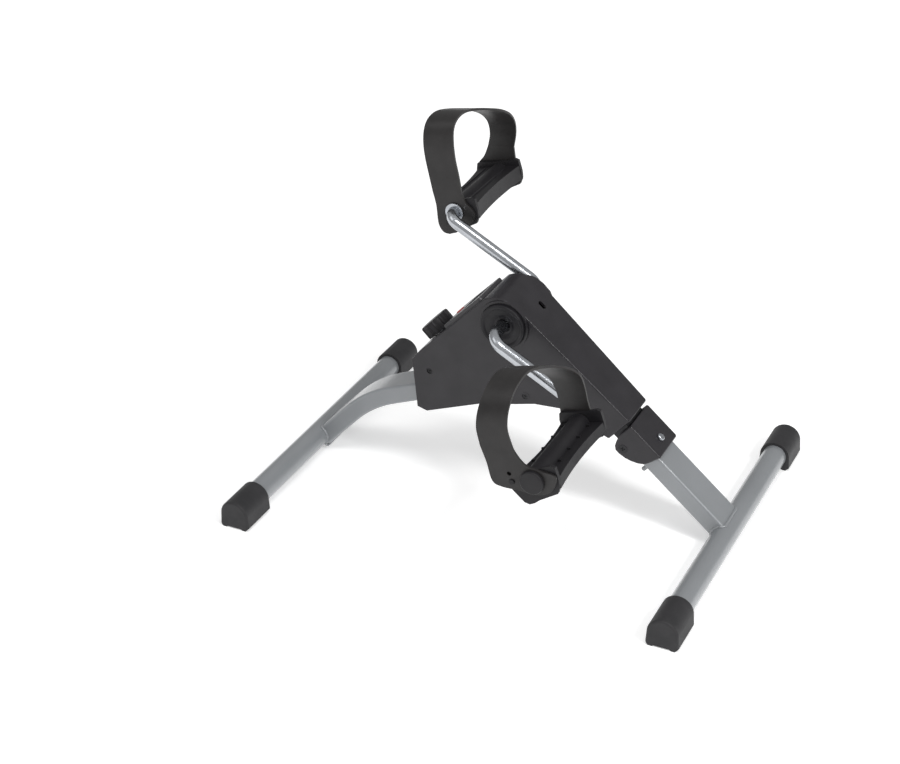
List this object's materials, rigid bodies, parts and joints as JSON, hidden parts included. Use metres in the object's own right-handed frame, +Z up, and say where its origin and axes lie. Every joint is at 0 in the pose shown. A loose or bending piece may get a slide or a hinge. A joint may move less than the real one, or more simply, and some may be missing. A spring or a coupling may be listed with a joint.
{
  "type": "pedal exerciser",
  "caption": "Folding floor pedal exerciser: steel legs on two floor bars, moulded housing, bent crank, strapped pedals, friction resistance knob and small display.",
  "frame": {"origin": "on the floor, midway between the two floor bars, in the centre plane", "axes": "+X forward, away from the seated user; -Y the user's right; +Z up"},
  "size_m": [0.5022, 0.4056, 0.3719],
  "materials": {
    "housing_plastic": "fine moulded texture, soft sheen",
    "pedal_plastic": "moulded, satin",
    "bezel_plastic": "moulded, satin",
    "button_plastic": "smooth",
    "cap_rubber": "matte",
    "strap_rubber": "smooth, soft sheen",
    "band_rubber": "woven friction band",
    "grey_paint": "satin silver grey powder coat",
    "chrome": "bright plated",
    "zinc": "bright zinc plate",
    "black_steel": "black oxide",
    "bush_brass": "turned",
    "drum_iron": "turned rim",
    "lens": "clear",
    "display_module": "grey green",
    "board": "lacquered"
  },
  "bodies": {
    "frame": {"housing_right_shell": "housing_plastic", "housing_left_shell": "housing_plastic", "housing_screws": "black_steel", "main_frame_tube": "grey_paint", "hinge_tongue": "black_steel", "crank_cradle_right": "grey_paint", "crank_cradle_left": "grey_paint", "rear_leg_tube": "grey_paint", "rear_stabiliser_tube": "grey_paint", "rear_foot_cap_right": "cap_rubber", "rear_foot_cap_left": "cap_rubber", "crank_bush_right": "bush_brass", "crank_bush_left": "bush_brass", "hub_cover_right": "housing_plastic", "hub_cover_left": "housing_plastic", "brake_band": "band_rubber", "band_anchor": "grey_paint", "display_bezel": "bezel_plastic", "display_lens": "lens", "display_module": "display_module", "display_circuit_board": "board", "display_battery": "zinc", "sensor_switch": "board"},
    "front_leg": {"front_leg_tube": "grey_paint", "front_stabiliser_tube": "grey_paint", "front_foot_cap_right": "cap_rubber", "front_foot_cap_left": "cap_rubber", "fold_bracket": "black_steel", "fold_bracket_cover": "housing_plastic", "hinge_bolt": "black_steel", "hinge_nut": "zinc", "leg_stop_pin": "grey_paint"},
    "lock_pin": {"lock_pin": "zinc"},
    "crank": {"crank_bar": "chrome", "brake_drum": "drum_iron", "sensor_magnet": "zinc", "axle_collar_right": "black_steel", "axle_collar_left": "black_steel", "spindle_washer_right": "zinc", "spindle_washer_left": "zinc"},
    "pedal_right": {"pedal_body_right": "pedal_plastic", "pedal_strap_right": "strap_rubber", "pedal_end_cap_right": "pedal_plastic"},
    "pedal_left": {"pedal_body_left": "pedal_plastic", "pedal_strap_left": "strap_rubber", "pedal_end_cap_left": "pedal_plastic"},
    "tension_knob": {"tension_knob": "pedal_plastic", "tension_screw": "zinc"},
    "tension_nut": {"tension_nut": "zinc"},
    "display_button": {"display_button": "button_plastic"}
  },
  "joints": [
    {"name": "crank_spin", "type": "hinge", "parent": "frame", "child": "crank", "pos_m": [-0.0038, 0, 0.2107], "axis": [0, 1, 0], "continuous": true},
    {"name": "right_pedal_spin", "type": "hinge", "parent": "crank", "child": "pedal_right", "pos_m": [0.10244, -0.138, 0.15278], "axis": [0, 1, 0], "continuous": true},
    {"name": "left_pedal_spin", "type": "hinge", "parent": "crank", "child": "pedal_left", "pos_m": [-0.11004, 0.138, 0.26862], "axis": [0, 1, 0], "continuous": true},
    {"name": "front_leg_fold", "type": "hinge", "parent": "frame", "child": "front_leg", "pos_m": [0.12537, 0, 0.09522], "axis": [0, 1, 0], "range_deg": [0, 110]},
    {"name": "lock_pin_pull", "type": "slide", "parent": "front_leg", "child": "lock_pin", "axis": [0.6543, 0, 0.7562], "range_m": [0, 0.0035], "stiffness_N_per_m": 600, "springref_m": -0.002},
    {"name": "tension_knob_turn", "type": "hinge", "parent": "frame", "child": "tension_knob", "pos_m": [-0.08783, 0, 0.17251], "axis": [-0.7181, 0, 0.6959], "range_deg": [-1080, 1080]},
    {"name": "tension_nut_travel", "type": "slide", "parent": "frame", "child": "tension_nut", "axis": [-0.7181, 0, 0.6959], "range_m": [-0.003, 0.003]},
    {"name": "display_button_press", "type": "slide", "parent": "frame", "child": "display_button", "axis": [0.7181, 0, -0.6959], "range_m": [0, 0.0012], "stiffness_N_per_m": 400, "springref_m": -0.001}
  ],
  "couplings": [
    {"joint": "tension_nut_travel", "follows": "tension_knob_turn", "m_per_rad": -0.00015915}
  ]
}
